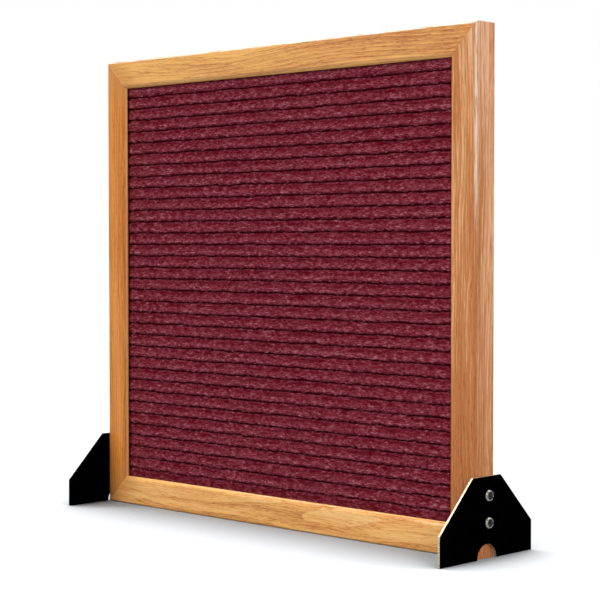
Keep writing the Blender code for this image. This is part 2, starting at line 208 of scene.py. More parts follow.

# The oak of each side: how far the growth rings, and the whole grain, are shifted in millimetres,
# how much paler it grows per millimetre of X, Y and Z, and the scale of its colours. Along the top
# rail that growth is the stain fading; up the stiles it is painted light from above.
OAK = {
    "bottom_rail": {
        "heart": (0, 38, -22),
        "drift": (20, 3, 5),
        "fade_and_light": (0, 0, 0),
        "tones": [(0.30, "#CD8B4A"), (0.44, "#ECAA61"), (0.56, "#FABE72"), (0.72, "#FFD08C")],
    },
    "top_rail": {
        "heart": (0, 30, -300),
        "drift": (400, 8, 0),
        "fade_and_light": (-0.0008, 0, 0),
        "tones": [(0.30, "#C38049"), (0.44, "#DA9A5B"), (0.56, "#EAAB62"), (0.72, "#FAC06E")],
    },
    "left_stile": {
        "heart": (0, 34, -90),
        "drift": (800, 1, 7),
        "fade_and_light": (0, 0, 0.0006),
        "tones": [(0.30, "#BD6F29"), (0.44, "#C6762D"), (0.56, "#D78535"), (0.72, "#E4984A")],
    },
    "right_stile": {
        "heart": (0, 26, 160),
        "drift": (70, 6, 2),
        "fade_and_light": (0, 0, 0.0008),
        "tones": [
            (0.30, "#AA6433"),
            (0.46, "#BC733B"),
            (0.60, "#C57F4A"),
            (0.68, "#CC8A54"),
            (0.78, "#E2A570"),
            (0.94, "#F4C29C"),
        ],
    },
}
PORE_STAIN = "#CC9460"
CORNER_STAIN = "#D18E4A"
PAINTED_INNER_ARRIS_LIGHT = "#FFB87C"
PAINTED_ARRIS_HIGHLIGHT = "#FFE6D2"

# Light and floor: strengths are in Blender's own units, where 1 is white
AMBIENT = 0.36
FLOOR_COLOUR = "#999DA1"
FLOOR_LIFT = 0.64
FLOOR_SIZE = 30
ARRIS_LIGHT_COLOUR = "#FFE6D8"

# Shade on the floor: how far round it looks for the object, and the open share at full and at no shade
CONTACT_SHADE_REACH = 0.078
FULL_SHADE = 0.5
NO_SHADE = 0.87


def linear(hex_colour):
    """Turns an sRGB hex colour into the linear one that a shader takes."""
    shares = [int(hex_colour[i : i + 2], 16) / 255 for i in (1, 3, 5)]
    return [s / 12.92 if s <= 0.04045 else ((s + 0.055) / 1.055) ** 2.4 for s in shares] + [1]


def add_node(tree, kind, inputs, stops=(), **settings):
    """Adds a shader node with its settings and links.

    An input takes a value, another node's first output or a chosen one. Stops are a colour ramp's:
    a place from 0 to 1, and a hex colour or a grey.
    """
    node = tree.nodes.new(kind)
    for name, value in settings.items():
        setattr(node, name, value)
    for socket, value in inputs.items():
        if isinstance(value, bpy.types.Node):
            value = value.outputs[0]
        if isinstance(value, bpy.types.NodeSocket):
            tree.links.new(value, node.inputs[socket])
        else:
            node.inputs[socket].default_value = value
    for number, (at, colour) in enumerate(stops):
        elements = node.color_ramp.elements
        stop = elements[number] if number < len(elements) else elements.new(at)
        stop.position = at
        stop.color = linear(colour) if isinstance(colour, str) else (colour, colour, colour, 1)
    return node


def new_material(name, **sockets):
    """A material with its own numbers set on the shader, and a place on the piece in millimetres."""
    material = bpy.data.materials.new(name)
    material.use_nodes = True
    tree = material.node_tree
    shader = tree.nodes["Principled BSDF"]
    for socket, value in sockets.items():
        shader.inputs[socket.replace("_", " ")].default_value = value
    spot = add_node(tree, "ShaderNodeTexCoord", {}).outputs["Object"]
    place = add_node(tree, "ShaderNodeMapping", {"Vector": spot, "Scale": (MM, MM, MM)})
    return material, tree, shader, place


# Materials


def golden_oak(name, grain_turn, inner_x, heart, drift, fade_and_light, tones):
    """Red oak, planed, stained golden and sprayed with satin lacquer.

    Light and dark bands and fine streaks run along the length. The open pores stay as short
    dark dashes, most of them in the dark bands, and the lacquer gives a quiet sheen. Painted
    light is mixed in: lighter side faces, stiles lighter upwards, and painted highlights on arrises.
    """
    material, tree, shader, place = new_material(
        name, Roughness=0.6, Specular_IOR_Level=0.0, Coat_Weight=0.36, Coat_Roughness=0.13
    )
    apart = add_node(tree, "ShaderNodeSeparateXYZ", {"Vector": place})
    along = add_node(tree, "ShaderNodeMapping", {"Vector": place, "Rotation": grain_turn, "Location": drift})

    # The grain wanders 1.6 mm to each side, over 90 mm of length
    slow = add_node(tree, "ShaderNodeMapping", {"Vector": along, "Scale": (1 / 90, 1 / 14, 1 / 14)})
    wander = add_node(tree, "ShaderNodeTexNoise", {"Vector": slow, "Scale": 1.0, "Detail": 1.0})
    centred = add_node(
        tree,
        "ShaderNodeVectorMath",
        {0: wander.outputs["Color"], 1: (0.5, 0.5, 0.5)},
        operation="SUBTRACT",
    )
    pushed = add_node(tree, "ShaderNodeVectorMath", {0: centred, 1: (0.0, 8.0, 8.0)}, operation="MULTIPLY")
    bent = add_node(tree, "ShaderNodeVectorMath", {0: along, 1: pushed}, operation="ADD")

    # Growth rings 1.7 mm apart, as a saw: a sharp start, then a slow fade
    from_heart = add_node(tree, "ShaderNodeMapping", {"Vector": bent, "Location": heart})
    rings = add_node(
        tree,
        "ShaderNodeTexWave",
        {"Vector": from_heart, "Scale": 0.18, "Distortion": 0.8, "Detail": 2.0},
        wave_type="RINGS",
        rings_direction="X",
        wave_profile="SAW",
    ).outputs["Fac"]

    # Bands of stain 140 mm long and 5 mm across, then streaks 16 mm long and 0.45 mm across
    broad = add_node(tree, "ShaderNodeMapping", {"Vector": bent, "Scale": (1 / 140, 1 / 5, 1 / 5)})
    bands = add_node(
        tree, "ShaderNodeTexNoise", {"Vector": broad, "Scale": 1.0, "Detail": 1.0, "Roughness": 0.4}
    )
    thin = add_node(tree, "ShaderNodeMapping", {"Vector": bent, "Scale": (1 / 16, 1 / 0.45, 1 / 0.45)})
    streaks = add_node(
        tree, "ShaderNodeTexNoise", {"Vector": thin, "Scale": 1.0, "Detail": 2.0, "Roughness": 0.6}
    )

    # Along the top rail the stain fades slowly over the length; up the stiles that shift is painted
    # light from above. From 1.3 mm behind the face on, the side faces are painted paler: painted sheen
    fade_and_light_shift = add_node(tree, "ShaderNodeVectorMath", {0: place, 1: fade_and_light}, operation="DOT_PRODUCT")
    face = FRONT * MM
    paler = add_node(
        tree,
        "ShaderNodeMapRange",
        {
            "Value": apart.outputs["Y"],
            "From Min": face + 0.3,
            "From Max": face + 1.3,
            "To Min": -0.24,
            "To Max": -0.13,
        },
    )
    start = add_node(tree, "ShaderNodeMath", {0: fade_and_light_shift.outputs["Value"], 1: paler}, operation="ADD")
    ringed = add_node(tree, "ShaderNodeMath", {0: rings, 1: 0.18, 2: start}, operation="MULTIPLY_ADD")
    streaked = add_node(tree, "ShaderNodeMath", {0: streaks, 1: 0.70, 2: ringed}, operation="MULTIPLY_ADD")
    banded = add_node(tree, "ShaderNodeMath", {0: bands, 1: 0.60, 2: streaked}, operation="MULTIPLY_ADD")
    tone = add_node(tree, "ShaderNodeValToRGB", {"Fac": banded}, stops=tones)

    # Pores 3.5 mm long and 0.3 mm across: real ones are half as wide, too fine to show
    short = add_node(tree, "ShaderNodeMapping", {"Vector": along, "Scale": (1 / 3.5, 1 / 0.3, 1 / 0.3)})
    dashes = add_node(
        tree, "ShaderNodeTexNoise", {"Vector": short, "Scale": 1.0, "Detail": 2.0, "Roughness": 0.5}
    )
    pores = add_node(tree, "ShaderNodeValToRGB", {"Fac": dashes}, stops=[(0.57, 0.0), (0.63, 1.0)])
    porous = add_node(
        tree,
        "ShaderNodeMapRange",
        {"Value": banded, "From Min": 0.40, "From Max": 0.62, "To Min": 0.70, "To Max": 0.25},
    )
    strength = add_node(tree, "ShaderNodeMath", {0: pores, 1: porous}, operation="MULTIPLY")
    wood = add_node(
        tree,
        "ShaderNodeMix",
        {0: strength, 6: tone, 7: linear(PORE_STAIN)},
        data_type="RGBA",
        blend_type="MULTIPLY",
    ).outputs[2]

    # At the two left corners the stain runs across the mitre. Both lengths take on one tone there,
    # from 15 mm off, which is 21 mm along a side
    from_middle = add_node(
        tree, "ShaderNodeMath", {0: apart.outputs["Z"], 1: BOARD_HEIGHT * MM / 2}, operation="SUBTRACT"
    )
    up_or_down = add_node(tree, "ShaderNodeMath", {0: from_middle}, operation="ABSOLUTE")
    slanted = add_node(tree, "ShaderNodeMath", {0: apart.outputs["X"], 1: up_or_down}, operation="ADD")
    wider = (BOARD_WIDTH - BOARD_HEIGHT) / 2 * MM
    across = add_node(tree, "ShaderNodeMath", {0: slanted, 1: wider}, operation="ADD")
    off_mitre = add_node(tree, "ShaderNodeMath", {0: across}, operation="ABSOLUTE")
    shared = add_node(
        tree,
        "ShaderNodeMapRange",
        {"Value": off_mitre, "From Min": 0.0, "From Max": 21.0, "To Min": 0.65, "To Max": 0.0},
        interpolation_type="SMOOTHSTEP",
    )
    wood = add_node(
        tree, "ShaderNodeMix", {0: shared, 6: wood, 7: linear(CORNER_STAIN)}, data_type="RGBA"
    ).outputs[2]

    # One inner arris, the last 0.8 mm of the face up to inner_x, is painted pale from end to end: painted
    # light on an edge that lies in shade
    if inner_x is not None:
        inner = add_node(
            tree,
            "ShaderNodeMapRange",
            {
                "Value": apart.outputs["X"],
                "From Min": inner_x - 0.8,
                "From Max": inner_x - 0.2,
                "To Max": 0.85,
            },
        )
        wood = add_node(
            tree, "ShaderNodeMix", {0: inner, 6: wood, 7: linear(PAINTED_INNER_ARRIS_LIGHT)}, data_type="RGBA"
        ).outputs[2]

    # The outer arrises get a painted highlight, in patches, near the top of the board: it sets in
    # 150 mm up and is full from 180 mm
    highlight_height = add_node(
        tree, "ShaderNodeMapRange", {"Value": apart.outputs["Z"], "From Min": 150.0, "From Max": 180.0}
    )
    arris = add_node(tree, "ShaderNodeAttribute", {}, attribute_name="outer_arris").outputs["Fac"]
    near = add_node(tree, "ShaderNodeMath", {0: arris, 1: highlight_height}, operation="MULTIPLY")
    patches = add_node(tree, "ShaderNodeMapRange", {"Value": streaks, "From Min": 0.36, "From Max": 0.50})
    painted_highlight = add_node(tree, "ShaderNodeMath", {0: near, 1: patches}, operation="MULTIPLY")
    highlighted_wood = add_node(
        tree, "ShaderNodeMix", {0: painted_highlight, 6: wood, 7: linear(PAINTED_ARRIS_HIGHLIGHT)}, data_type="RGBA"
    )
    tree.links.new(highlighted_wood.outputs[2], shader.inputs["Base Color"])

    relief = add_node(tree, "ShaderNodeMath", {0: pores, 1: -1.0, 2: streaks}, operation="MULTIPLY_ADD")
    bump = add_node(tree, "ShaderNodeBump", {"Height": relief, "Strength": 0.3, "Distance": 0.00006})
    tree.links.new(bump.outputs["Normal"], shader.inputs["Normal"])
    return material


def burgundy_felt():
    """Thick pressed wool felt with a raised, matted nap.

    The fibres catch light as small pinkish flecks, and the hollows between them look almost
    black-red. It has no gloss. Each row is painted brightest near its lower edge and darkest
    where it goes under the row above: painted shade from the overhanging row. The felt's own
    attribute says how far up or down the scale of colours each part lies.
    """
    material, tree, shader, place = new_material(
        "burgundy_wool_felt", Roughness=0.95, Specular_IOR_Level=0.0, Sheen_Weight=0.02, Sheen_Roughness=0.5
    )
    shader.inputs["Sheen Tint"].default_value = linear("#C98A94")

    # Clumps of nap about 3 mm long, drawn out along the grooves
    clump_place = add_node(tree, "ShaderNodeMapping", {"Vector": place, "Scale": (1 / 3.4, 1 / 2.4, 1 / 1.5)})
    clumps = add_node(tree, "ShaderNodeTexNoise", {"Vector": clump_place, "Scale": 1.0, "Detail": 2.0})

    # Wisps of fibre 2.4 mm long and 0.4 mm thick, lying two ways across each other: real fibres are
    # too fine to show
    wisps = []
    for slant in (27, -22):
        wisp_place = add_node(
            tree,
            "ShaderNodeMapping",
            {"Vector": place, "Scale": (1 / 2.4, 1 / 0.7, 1 / 0.4), "Rotation": (0, math.radians(slant), 0)},
        )
        wisp = add_node(
            tree,
            "ShaderNodeTexNoise",
            {"Vector": wisp_place, "Scale": 1.0, "Detail": 3.0, "Roughness": 0.6, "Distortion": 0.8},
        )
        wisps.append(wisp)
    flecks = add_node(tree, "ShaderNodeMath", {0: wisps[0], 1: wisps[1]}, operation="MAXIMUM")
    clumped = add_node(tree, "ShaderNodeMath", {0: clumps, 1: 0.60, 2: -0.75}, operation="MULTIPLY_ADD")
    nap = add_node(tree, "ShaderNodeMath", {0: flecks, 1: 1.70, 2: clumped}, operation="MULTIPLY_ADD")

    # The painted shade between the rows comes and goes every 6 mm or so, where the matted nap bridges it
    hollow_place = add_node(tree, "ShaderNodeMapping", {"Vector": place, "Scale": (1 / 6, 1 / 3, 1 / 2.5)})
    hollows = add_node(tree, "ShaderNodeTexNoise", {"Vector": hollow_place, "Scale": 1.0, "Detail": 2.0})
    painted_shade_depth = add_node(
        tree,
        "ShaderNodeMapRange",
        {"Value": hollows, "From Min": 0.35, "From Max": 0.65, "To Max": 2.2},
    )
    painted_row_shade = add_node(tree, "ShaderNodeAttribute", {}, attribute_name="painted_nap_shade").outputs["Fac"]
    nap_and_painted_shade = add_node(tree, "ShaderNodeMath", {0: painted_row_shade, 1: painted_shade_depth, 2: nap}, operation="MULTIPLY_ADD")
    tone = add_node(
        tree,
        "ShaderNodeValToRGB",
        {"Fac": nap_and_painted_shade},
        stops=[
            (0.00, "#7C081C"),
            (0.07, "#580310"),
            (0.22, "#5E0D1B"),
            (0.36, "#691C28"),
            (0.50, "#7F2E3A"),
            (0.64, "#9A4A56"),
            (0.80, "#BC828D"),
        ],
    )
    tree.links.new(tone.outputs["Color"], shader.inputs["Base Color"])
    bump = add_node(tree, "ShaderNodeBump", {"Height": nap, "Strength": 0.7, "Distance": 0.0006})
    tree.links.new(bump.outputs["Normal"], shader.inputs["Normal"])
    return material


def black_baked_coat():
    """Steel sheet with a smooth baked black coat: deep black, with hardly any reflection."""
    material, tree, shader, place = new_material("black_baked_coat", Roughness=0.22, Specular_IOR_Level=0.0)
    haze = add_node(tree, "ShaderNodeTexNoise", {"Vector": place, "Scale": 1 / 9, "Detail": 2.0})
    tone = add_node(tree, "ShaderNodeValToRGB", {"Fac": haze}, stops=[(0.35, "#000001"), (0.75, "#030305")])
    tree.links.new(tone.outputs["Color"], shader.inputs["Base Color"])
    peel = add_node(tree, "ShaderNodeTexNoise", {"Vector": place, "Scale": 1 / 1.5, "Detail": 1.0})
    bump = add_node(tree, "ShaderNodeBump", {"Height": peel, "Strength": 0.08, "Distance": 0.00002})
    tree.links.new(bump.outputs["Normal"], shader.inputs["Normal"])
    return material


def bare_cut_edge():
    """The cut edge of the sheet, left bare: pale, dull metal with fine shear marks across it."""
    material, tree, shader, place = new_material("bare_cut_edge", Metallic=1.0, Roughness=0.55)
    marks = add_node(tree, "ShaderNodeMapping", {"Vector": place, "Scale": (1 / 3.0, 1 / 0.5, 1 / 0.5)})
    grain = add_node(tree, "ShaderNodeTexNoise", {"Vector": marks, "Scale": 1.0, "Detail": 2.0})
    tone = add_node(tree, "ShaderNodeValToRGB", {"Fac": grain}, stops=[(0.3, "#A99A84"), (0.7, "#CFC2AE")])
    tree.links.new(tone.outputs["Color"], shader.inputs["Base Color"])
    bump = add_node(tree, "ShaderNodeBump", {"Height": grain, "Strength": 0.15, "Distance": 0.00003})
    tree.links.new(bump.outputs["Normal"], shader.inputs["Normal"])
    return material


def bright_nickel():
    """Nickel plate on a cold-headed steel screw: a glossy mid grey, clouded by light tool marks."""
    material, tree, shader, place = new_material("bright_nickel_plate", Metallic=1.0)
    scuffs = add_node(tree, "ShaderNodeTexNoise", {"Vector": place, "Scale": 1 / 0.4, "Detail": 3.0})
    tone = add_node(tree, "ShaderNodeValToRGB", {"Fac": scuffs}, stops=[(0.3, "#6C6A66"), (0.7, "#A09C97")])
    gloss = add_node(tree, "ShaderNodeMapRange", {"Value": scuffs, "To Min": 0.08, "To Max": 0.18})
    tree.links.new(tone.outputs["Color"], shader.inputs["Base Color"])
    tree.links.new(gloss.outputs["Result"], shader.inputs["Roughness"])
    return material


def dull_recess():
    """The inside of a screw's cross recess, where plating and light hardly reach: dull plating, darkened as
    painted shade.
    """
    material, tree, shader, place = new_material("dull_screw_recess", Metallic=1.0, Roughness=0.5)
    plating_and_shade = add_node(tree, "ShaderNodeTexNoise", {"Vector": place, "Scale": 1 / 0.3, "Detail": 2.0})
    tone = add_node(tree, "ShaderNodeValToRGB", {"Fac": plating_and_shade}, stops=[(0.3, "#1E1D1C"), (0.7, "#57534F")])
    tree.links.new(tone.outputs["Color"], shader.inputs["Base Color"])
    return material


def zinc_plate():
    """Clear zinc plate on stamped steel: a satin grey, slightly blue, with cloudy patches."""
    material, tree, shader, place = new_material("clear_zinc_plate", Metallic=1.0)
    clouds = add_node(
        tree, "ShaderNodeTexNoise", {"Vector": place, "Scale": 1 / 1.6, "Detail": 4.0, "Roughness": 0.6}
    )
    tone = add_node(
        tree,
        "ShaderNodeValToRGB",
        {"Fac": clouds},
        stops=[(0.3, "#9AA0A8"), (0.5, "#B9BEC5"), (0.7, "#D0D3D6")],
    )
    gloss = add_node(tree, "ShaderNodeMapRange", {"Value": clouds, "To Min": 0.24, "To Max": 0.46})
    tree.links.new(tone.outputs["Color"], shader.inputs["Base Color"])
    tree.links.new(gloss.outputs["Result"], shader.inputs["Roughness"])
    bump = add_node(tree, "ShaderNodeBump", {"Height": clouds, "Strength": 0.1, "Distance": 0.00003})
    tree.links.new(bump.outputs["Normal"], shader.inputs["Normal"])
    return material


def blued_spring_steel():
    """Tempered steel strip, blued unevenly by heat: a dark blue grey in soft patches."""
    material, tree, shader, place = new_material("blued_spring_steel", Metallic=1.0, Roughness=0.4)
    patches = add_node(tree, "ShaderNodeTexNoise", {"Vector": place, "Scale": 1 / 0.7, "Detail": 3.0})
    tone = add_node(
        tree, "ShaderNodeValToRGB", {"Fac": patches}, stops=[(0.35, "#4A505A"), (0.65, "#7C8086")]
    )
    tree.links.new(tone.outputs["Color"], shader.inputs["Base Color"])
    return material


def tempered_hardboard():
    """Hardboard: wood fibre pressed hard, smooth and brown, mottled by stray fibres and oil."""
    material, tree, shader, place = new_material("tempered_hardboard", Roughness=0.55, Specular_IOR_Level=0.3)
    blotches = add_node(tree, "ShaderNodeTexNoise", {"Vector": place, "Scale": 1 / 26, "Detail": 3.0})
    fibre_place = add_node(tree, "ShaderNodeMapping", {"Vector": place, "Scale": (1 / 1.6, 1 / 0.5, 1 / 0.5)})
    fibres = add_node(
        tree, "ShaderNodeTexNoise", {"Vector": fibre_place, "Scale": 1.0, "Detail": 4.0, "Roughness": 0.7}
    )
    mottled = add_node(tree, "ShaderNodeMath", {0: blotches, 1: 0.3}, operation="MULTIPLY")
    fleck = add_node(tree, "ShaderNodeMath", {0: fibres, 1: 0.7, 2: mottled}, operation="MULTIPLY_ADD")
    tone = add_node(
        tree,
        "ShaderNodeValToRGB",
        {"Fac": fleck},
        stops=[(0.34, "#55371F"), (0.50, "#6E4A2B"), (0.66, "#85603D")],
    )
    tree.links.new(tone.outputs["Color"], shader.inputs["Base Color"])
    bump = add_node(tree, "ShaderNodeBump", {"Height": fibres, "Strength": 0.2, "Distance": 0.00005})
    tree.links.new(bump.outputs["Normal"], shader.inputs["Normal"])
    return material


def raw_fibreboard():
    """The sawn core board behind the felt: soft tan fibre, quite matt."""
    material, tree, shader, place = new_material("raw_fibreboard", Roughness=0.9)
    fibres = add_node(
        tree, "ShaderNodeTexNoise", {"Vector": place, "Scale": 1 / 0.6, "Detail": 4.0, "Roughness": 0.7}
    )
    tone = add_node(tree, "ShaderNodeValToRGB", {"Fac": fibres}, stops=[(0.3, "#5C3F2A"), (0.7, "#8C6A4C")])
    tree.links.new(tone.outputs["Color"], shader.inputs["Base Color"])
    return material


# Shapes


def arc(centre, radii, start, end, steps):
    """Points on an elliptical arc, its angles in degrees from the first axis."""
    angles = [math.radians(start + (end - start) * i / steps) for i in range(steps + 1)]
    return [(centre[0] + radii[0] * math.cos(a), centre[1] + radii[1] * math.sin(a)) for a in angles]


def slab(outline, thickness):
    """A flat outline in X and Y, thickened evenly about Z = 0."""
    shape = bmesh.new()
    face = shape.faces.new([shape.verts.new((x, y, -thickness / 2)) for x, y in outline])
    raised = bmesh.ops.extrude_face_region(shape, geom=[face])
    tops = [item for item in raised["geom"] if isinstance(item, bmesh.types.BMVert)]
    bmesh.ops.translate(shape, verts=tops, vec=(0, 0, thickness))
    bmesh.ops.recalc_face_normals(shape, faces=shape.faces)
    return shape


def ease_edges(shape, width, segments, sharper_than=math.radians(30)):
    """Rounds every edge that turns by more than an angle."""
    edges = [e for e in shape.edges if e.is_manifold and e.calc_face_angle() > sharper_than]
    bmesh.ops.bevel(
        shape,
        geom=edges,
        offset=width,
        offset_type="OFFSET",
        affect="EDGES",
        segments=segments,
        profile=0.5,
        material=-1,
        clamp_overlap=True,
    )


def finished_mesh(name, shape):
    """Turns a bmesh into a mesh whose rounds shade smooth and whose arrises stay sharp."""
    mesh = bpy.data.meshes.new(name)
    shape.to_mesh(mesh)
    shape.free()
    mesh.shade_smooth()
    mesh.set_sharp_from_angle(angle=SMOOTH_ANGLE)
    return mesh


def rod(radius, length, place):
    """A plain round cutter along Z, about a place."""
    shape = bmesh.new()
    bmesh.ops.create_cone(
        shape, cap_ends=True, segments=HOLE_STEPS, radius1=radius, radius2=radius, depth=length
    )
    bmesh.ops.translate(shape, verts=shape.verts, vec=place)
    return shape


def carved(shape, cutters):
    """Cuts shapes out of another with exact Booleans, and frees them all."""
    scratch = []
    for item in [shape, *cutters]:
        mesh = bpy.data.meshes.new("scratch")
        item.to_mesh(mesh)
        item.free()
        scratch.append(bpy.data.objects.new("scratch", mesh))
        bpy.context.scene.collection.objects.link(scratch[-1])
    for cutter in scratch[1:]:
        modifier = scratch[0].modifiers.new("cut", "BOOLEAN")
        modifier.operation = "DIFFERENCE"
        modifier.solver = "EXACT"
        modifier.object = cutter
    graph = bpy.context.evaluated_depsgraph_get()
    result = bmesh.new()
    result.from_mesh(scratch[0].evaluated_get(graph).to_mesh())
    for item in scratch:
        bpy.data.meshes.remove(item.data)
    return result


def middle(node):
    """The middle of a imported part's box."""
    low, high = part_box(node)
    return [(a + b) / 2 for a, b in zip(low, high)]


def add_piece(name, mesh, place, body, materials, nodes):
    """Puts a finished mesh in its place, on its body, in the stead of the parts that it stands for."""
    mesh = mesh.copy()
    mesh.transform(place)
    for material in materials:
        mesh.materials.append(material)
    piece = bpy.data.objects.new(name, mesh)
    bpy.context.scene.collection.objects.link(piece)
    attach(piece, body)
    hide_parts(*nodes)
    return piece


# Frame


def moulding_section():
    """The section of the oak moulding: depth from front to back, and distance in from its outer face."""
    outer_middle = (FRONT + OUTER_ROUND_RADIUS, OUTER_ROUND_RADIUS)
    section = arc(outer_middle, (OUTER_ROUND_RADIUS, OUTER_ROUND_RADIUS), 270, 180, OUTER_ROUND_STEPS)
    inner_middle = (FRONT + INNER_ROUND_DEPTH, FACE_WIDTH - INNER_ROUND_WIDTH)
    section += arc(inner_middle, (INNER_ROUND_DEPTH, INNER_ROUND_WIDTH), 180, 90, INNER_ROUND_STEPS)
    lip_back = FRONT + LIP_THICKNESS
    section += [(lip_back, FACE_WIDTH), (lip_back, STRIP_WIDTH), (BACK, STRIP_WIDTH)]
    section += arc((BACK - BACK_ARRIS, BACK_ARRIS), (BACK_ARRIS, BACK_ARRIS), 0, -90, BACK_ARRIS_STEPS)
    return section


def mitred_length(length):
    """One side of the frame along X, outer face down, mitred at both ends with a hairline eased edge."""
    shape = slab(moulding_section(), length)
    bmesh.ops.transform(shape, matrix=TURNED_TO_SIDE, verts=shape.verts)
    for vertex in shape.verts:
        vertex.co.x = math.copysign(length / 2 - MITRE_SLICE - vertex.co.z, vertex.co.x)
    shape.normal_update()
    ends = [face for face in shape.faces if abs(face.normal.x) > MITRE_FACING]
    bmesh.ops.inset_region(shape, faces=ends, thickness=MITRE_EASE, depth=MITRE_SLICE)
    bmesh.ops.recalc_face_normals(shape, faces=shape.faces)
    return shape


def mark_outer_arris(shape):
    """Notes how near each point of a length lies to the middle of its front outer round, where the oak paints
    a highlight.
    """
    nearness = shape.verts.layers.float.new("outer_arris")
    inset = OUTER_ROUND_RADIUS * (1 - math.sqrt(0.5))
    arris_middle = Vector((FRONT + inset, inset))
    for vertex in shape.verts:
        off = (vertex.co.yz - arris_middle).length / OUTER_ROUND_RADIUS
        vertex[nearness] = min(1.0, max(0.0, ARRIS_HIGHLIGHT_GAIN - ARRIS_HIGHLIGHT_GAIN * off / ARRIS_HIGHLIGHT_REACH))


def nail_slot(x, z, degrees):
    """A cutter for the mark that a corner nail leaves in the back of the frame."""
    half = NAIL_STRIP / 2 + NAIL_SLOT_GAP
    end = NAIL_LEG + NAIL_SLOT_GAP
    outline = [(-half, -half), (end, -half), (end, half), (half, half), (half, end), (-half, end)]
    slot = slab(outline, 2 * NAIL_SLOT_DEPTH)
    turn = Matrix.Rotation(math.radians(degrees), 4, "Y") @ Matrix.Rotation(math.radians(90), 4, "X")
    bmesh.ops.transform(slot, matrix=Matrix.Translation((x, BACK, z)) @ turn, verts=slot.verts)
    return slot


def make_frame():
    """Four oak lengths, each with its own run of grain."""
    level, upright = (0, 0, 0), (0, math.radians(90), 0)
    half_x = BOARD_WIDTH / 2
    far_x = half_x - NAIL_INSET
    far_z = BOARD_HEIGHT - NAIL_INSET
    # Place across and upwards, and turn in degrees
    nails = {
        "bottom_left": (-far_x, NAIL_INSET, 0),
        "bottom_right": (far_x, NAIL_INSET, -90),
        "top_right": (far_x, far_z, 180),
        "top_left": (-far_x, far_z, 90),
    }
    # Length, place, turn in degrees and turn of the grain
    sides = {
        "bottom_rail": (BOARD_WIDTH, (0, 0, 0), 0, level),
        "top_rail": (BOARD_WIDTH, (0, 0, BOARD_HEIGHT), 180, level),
        "left_stile": (BOARD_HEIGHT, (-half_x, 0, BOARD_HEIGHT / 2), 90, upright),
        "right_stile": (BOARD_HEIGHT, (half_x, 0, BOARD_HEIGHT / 2), -90, upright),
    }
    for name, (length, place, degrees, grain_turn) in sides.items():
        # The photo shows one outer arris dark and one inner arris pale, both on the left stile
        # On the left stile the inner arris gets painted light and the outer arris no painted highlight
        on_left = name == "left_stile"
        inner_x = (BOARD_LOW.x + FACE_WIDTH) * MM if on_left else None
        oak = golden_oak("golden_oak_" + name, grain_turn, inner_x, **OAK[name])
        shape = mitred_length(length)
        if not on_left:
            mark_outer_arris(shape)
        lie = Matrix.Translation(place) @ Matrix.Rotation(math.radians(degrees), 4, "Y")
        bmesh.ops.transform(shape, matrix=lie, verts=shape.verts)
        side = name.split("_")[0]
        slots = [nail_slot(*spot) for corner, spot in nails.items() if side in corner]
        mesh = finished_mesh(name, carved(shape, slots))
        add_piece("oak_" + name, mesh, Matrix.Identity(4), "board", [oak], [name])


# Felt


def groove_heights():
    """Middles of the grooves from the lowest up, set out from the top of the opening."""
    top = BOARD_HEIGHT - FACE_WIDTH - FIRST_GROOVE_DROP
    room = top - FACE_WIDTH - LAST_LAND
    count = 1 + int(room / GROOVE_PITCH)
    return [top - GROOVE_PITCH * i for i in reversed(range(count))]


def felt_outline(low, high, front, back):
    """The felt seen end on: its face and grooves in front, its glued side behind."""
    heights = groove_heights()
    half = GROOVE_MOUTH / 2
    edges = [low] + [h + s * half for h in heights for s in (-1, 1)] + [high]
    face = []
    for lower, upper in zip(edges[::2], edges[1::2]):
        for up, setback, reach, tone in FELT_ROW:
            face.append((front + setback / MM, lower + (upper - lower) * up, reach, tone))
        if upper < high:
            face.append((front + GROOVE_DEPTH, upper + half, 0.0, GROOVE_PAINTED_SHADE))
    rear = []
    tuck = front + GROOVE_DEPTH + FELT_THICKNESS
    for height in reversed(heights):
        for side in (1, -1):
            edge = height + side * (half + FELT_THICKNESS)
            pair = [(back, edge), (tuck, edge)]
            rear += pair if side > 0 else pair[::-1]
    return face, [(back, high)] + rear + [(back, low)]


def near_edge(distance):
    """How far the felt turns back near a side of the opening: fully at the side, not at all further in."""
    share = max(0.0, min(1.0, 1.0 - distance / FELT_EDGE_ROLL))
    return share * share * (3.0 - 2.0 * share)


def wave(x, z, across, up, seed):
    """A smooth swell between about -1 and 1, as long across and upwards as given."""
    return noise.noise(Vector((x / across, z / up, seed)))


def matted(point, reach):
    """Where a point of the felt's face ends up once the nap is matted and the grooves wander."""
    x, y, z = (value * MM for value in point)
    drift = sum(wave(x, z, *swell) * far for *swell, far in DRIFT_WAVES)
    drift += wave(x, z, *TUFT_WAVE) * reach
    fluff = sum(wave(x, z, *swell) * far for *swell, far in FLUFF_WAVES)
    side = BOARD_WIDTH / 2 - FACE_WIDTH - abs(point.x)
    end = min(point.z - FACE_WIDTH, BOARD_HEIGHT - FACE_WIDTH - point.z)
    turned = max(near_edge(side), FELT_END_SHARE * near_edge(end)) * FELT_TURNED_BACK * MM
    return Vector((x, y + fluff + turned, z + drift)) / MM


